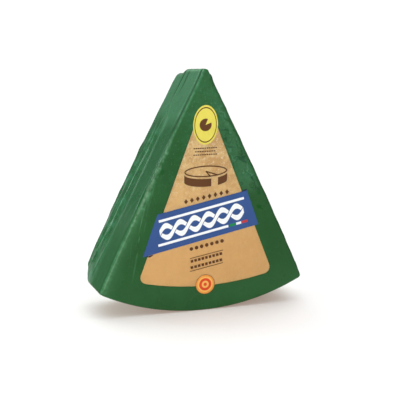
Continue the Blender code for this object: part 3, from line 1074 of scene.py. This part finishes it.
WHITE = srgb(250, 250, 252)
BLUE = srgb(54, 86, 146)
NAVY = srgb(26, 30, 62)
YELLOW = srgb(238, 222, 96)
BROWN = srgb(100, 60, 30)
ORANGE = srgb(245, 160, 72)
SEAL_RED = srgb(226, 74, 38)


def between(value, low, high):
    """1 where a value is between two limits."""
    return 1 - abs(value - (low + high) / 2).rise((high - low) / 2 - BLUR, (high - low) / 2 + BLUR)


def distance(across, up):
    """How far a point is from the middle."""
    return (across * across + up * up).root()


# The band's print: places along it and up it, from its middle
PLAIT_END = 0.036
PLAIT_PITCH = 0.024
PLAIT_SWING = 0.0048
STRAND_HALF = 0.0022
STRAND_GAP = 0.0008
RULE_LOW, RULE_HIGH = 0.0086, 0.0106
HIGH_RULE, LOW_RULE = (-0.035, 0.038), (-0.039, 0.021)
STRIPES = (
    ((0.0222, 0.0272), srgb(24, 140, 72)),
    ((0.0278, 0.0322), WHITE),
    ((0.0328, 0.0378), srgb(196, 58, 62)),
)


def band_pattern(finish):
    """Two white rules, a white plait between them, and three short coloured stripes."""
    across, up = finish.x - BAND_MIDDLE[0], finish.z - BAND_MIDDLE[1]
    cos, sin = math.cos(BAND_SLOPE), math.sin(BAND_SLOPE)
    u, v = across * cos + up * sin, up * cos - across * sin
    turn = (u + PLAIT_END) * (2 * math.pi / PLAIT_PITCH)
    swing, over = turn.sine() * PLAIT_SWING, turn.cosine().under(0.0, 0.01)
    first, second = abs(v - swing), abs(v + swing)
    halo = STRAND_HALF + STRAND_GAP
    first_strand = first.under(STRAND_HALF) * (1 - second.under(halo) * over)
    second_strand = second.under(STRAND_HALF) * (1 - first.under(halo) * (1 - over))
    plait = first_strand.most(second_strand) * between(u, -PLAIT_END, PLAIT_END)
    high_rule = between(v, RULE_LOW, RULE_HIGH) * between(u, *HIGH_RULE)
    low_line = between(v, -RULE_HIGH, -RULE_LOW)
    white = plait.most(high_rule).most(low_line * between(u, *LOW_RULE))
    return ((white, WHITE), *((low_line * between(u, *ends), colour) for ends, colour in STRIPES))


BADGE_LINE = (0.84, 0.9)  # as shares of the badge's radii
BADGE_DISC = 0.005
SLICE_SIDES = (math.radians(20), math.radians(68))


def badge_pattern(finish):
    """A keyline, and a cheese from above with a slice cut out."""
    across, up = finish.x - BADGE_MIDDLE[0], finish.z - BADGE_MIDDLE[1]
    keyline = between(distance(across / BADGE_RADII[0], up / BADGE_RADII[1]), *BADGE_LINE)
    start, end = SLICE_SIDES
    past_start = (up * math.cos(start) - across * math.sin(start)).rise(-BLUR, BLUR)
    before_end = (up * math.cos(end) - across * math.sin(end)).rise(BLUR, -BLUR)
    disc = distance(across, up).under(BADGE_DISC) * (1 - past_start * before_end)
    return ((keyline.most(disc), BROWN),)


def seal_pattern(finish):
    """A dark rim, a red ring and a red dot."""
    reach = distance(finish.x - SEAL_MIDDLE[0], finish.z - SEAL_MIDDLE[1])
    return (
        (between(reach, 0.0078, 0.009), srgb(150, 80, 40)),
        (reach.under(0.0064), srgb(250, 190, 96)),
        (between(reach, 0.003, 0.0052), SEAL_RED),
        (reach.under(0.0014), SEAL_RED),
    )


# ---- studio

CAMERA_AZIMUTH = math.radians(-20.03)
CAMERA_ELEVATION = math.radians(13.3)
CAMERA_ROLL = math.radians(0.81)
CAMERA_DISTANCE = 1.089
CAMERA_AIM = Vector((0.00534, 0.0, 0.08533))
CAMERA_LENS = 120.8


def put_in_studio(name, data):
    obj = bpy.data.objects.new(name, data)
    bpy.context.scene.collection.objects.link(obj)
    return obj


def add_camera():
    """The photo's view."""
    cos, sin = math.cos(CAMERA_AZIMUTH), math.sin(CAMERA_AZIMUTH)
    flat = math.cos(CAMERA_ELEVATION)
    back = Vector((sin * flat, -cos * flat, math.sin(CAMERA_ELEVATION)))
    level = Vector((cos, sin, 0))
    upright = back.cross(level)
    cos, sin = math.cos(CAMERA_ROLL), math.sin(CAMERA_ROLL)
    turned = Matrix((level * cos + upright * sin, upright * cos - level * sin, back)).transposed().to_4x4()
    data = bpy.data.cameras.new("camera")
    data.lens = CAMERA_LENS
    data.sensor_width = 36
    camera = put_in_studio("camera", data)
    camera.matrix_world = Matrix.Translation(CAMERA_AIM + back * CAMERA_DISTANCE) @ turned
    bpy.context.scene.camera = camera


def add_light(name, place, size, watts, colour):
    """A square soft box that faces the middle of the wedge."""
    data = bpy.data.lights.new(name, "AREA")
    data.size = size
    data.energy = watts
    data.color = colour
    light = put_in_studio(name, data)
    light.location = place
    light.rotation_euler = (LIGHT_AIM - Vector(place)).to_track_quat("-Z", "Y").to_euler()


LIGHT_AIM = Vector((0, 0, 0.09))
DOME_LOW = 0.16
DOME_GLOW = 3.5
DOME_GLOW_TOWARDS = Vector((0.1, 0.26, 0.96)).normalized()
DOME_GLOW_TIGHTNESS = 2.6


def add_world():
    """A dim dome with a wide glow overhead, a little behind the wedge."""
    dome = Finish("studio", "worlds", "Generated")
    x, y, z = DOME_GLOW_TOWARDS
    towards = dome.x * x + dome.y * y + dome.z * z
    level = towards.most(0.0) ** DOME_GLOW_TIGHTNESS * DOME_GLOW + DOME_LOW
    sky = dome.node("Background", {"Strength": level})
    bpy.context.scene.world = dome.finished(sky, "OutputWorld")


FLOOR_SIZE = 60
FLOOR_TINTS = (0.565, 0.63, 0.65, 1.0), (0.57, 0.635, 0.655, 1.0)
FLOOR_GLOW = 0.31
FLOOR_GLOW_TINT = (1.0, 0.68, 0.58, 1.0)


def add_floor():
    """A plain pale floor that glows a little, so that its shadows stay light."""
    deselect()
    bpy.ops.mesh.primitive_plane_add(size=FLOOR_SIZE, location=(0, 0, -0.0001))
    floor = named("floor")
    finish = Finish("floor_white")
    colour = finish.mix(finish.noise(3.0).rise(0.3, 0.7), *FLOOR_TINTS)
    lit = finish.node("BsdfDiffuse", {"Color": colour})
    glowing = finish.node("Emission", {"Color": FLOOR_GLOW_TINT, "Strength": FLOOR_GLOW})
    floor.data.materials.append(finish.finished(finish.node("AddShader", {0: lit, 1: glowing})))


# ---- the whole


def place_piece(obj, slot, finish, *nodes):
    """Gives a piece its finish, the body it rides on and what it stands for."""
    obj.data.materials.append(finish)
    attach(obj, "root")
    if nodes:
        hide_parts(*nodes)


def main():
    """Makes every piece with its finish, and the studio."""
    film, window_film, form = make_film()
    cheese = make_cheese()
    navy = ink("navy_ink", NAVY)
    printed = (
        (make_band(form), "blue_print", ink("blue_ink", BLUE, band_pattern)),
        (make_fold("band_fold_low", FOLD_LOW, form), "blue_print", navy),
        (make_fold("band_fold_high", FOLD_HIGH, form), "blue_print", navy),
        (make_badge(form), "badge_print", ink("yellow_ink", YELLOW, badge_pattern)),
        (make_seal(form), "badge_print", ink("orange_ink", ORANGE, seal_pattern)),
        (make_brown_print(form), "badge_print", ink("brown_ink", BROWN)),
    )
    bpy.data.objects.remove(form)
    add_modifier(film, "SOLIDIFY", thickness=FILM_WALL, offset=-1.0, use_rim=True)

    place_piece(film, "green_film", green_film(), "film")
    place_piece(cheese, "cheese_paste", cheese_paste(), "cheese")
    place_piece(window_film, "clear_film", clear_film())
    for piece, slot, finish in printed:
        place_piece(piece, slot, finish)

    add_floor()
    add_world()
    add_light("key_light", (-1.05, 0.6, 0.45), 0.3, 4.2, (0.8, 1.0, 0.92))
    add_light("left_light", (-0.85, -0.98, 0.23), 0.35, 6.2, (0.94, 1.0, 0.94))
    add_camera()
    bpy.context.scene.view_settings.view_transform = "Standard"


main()
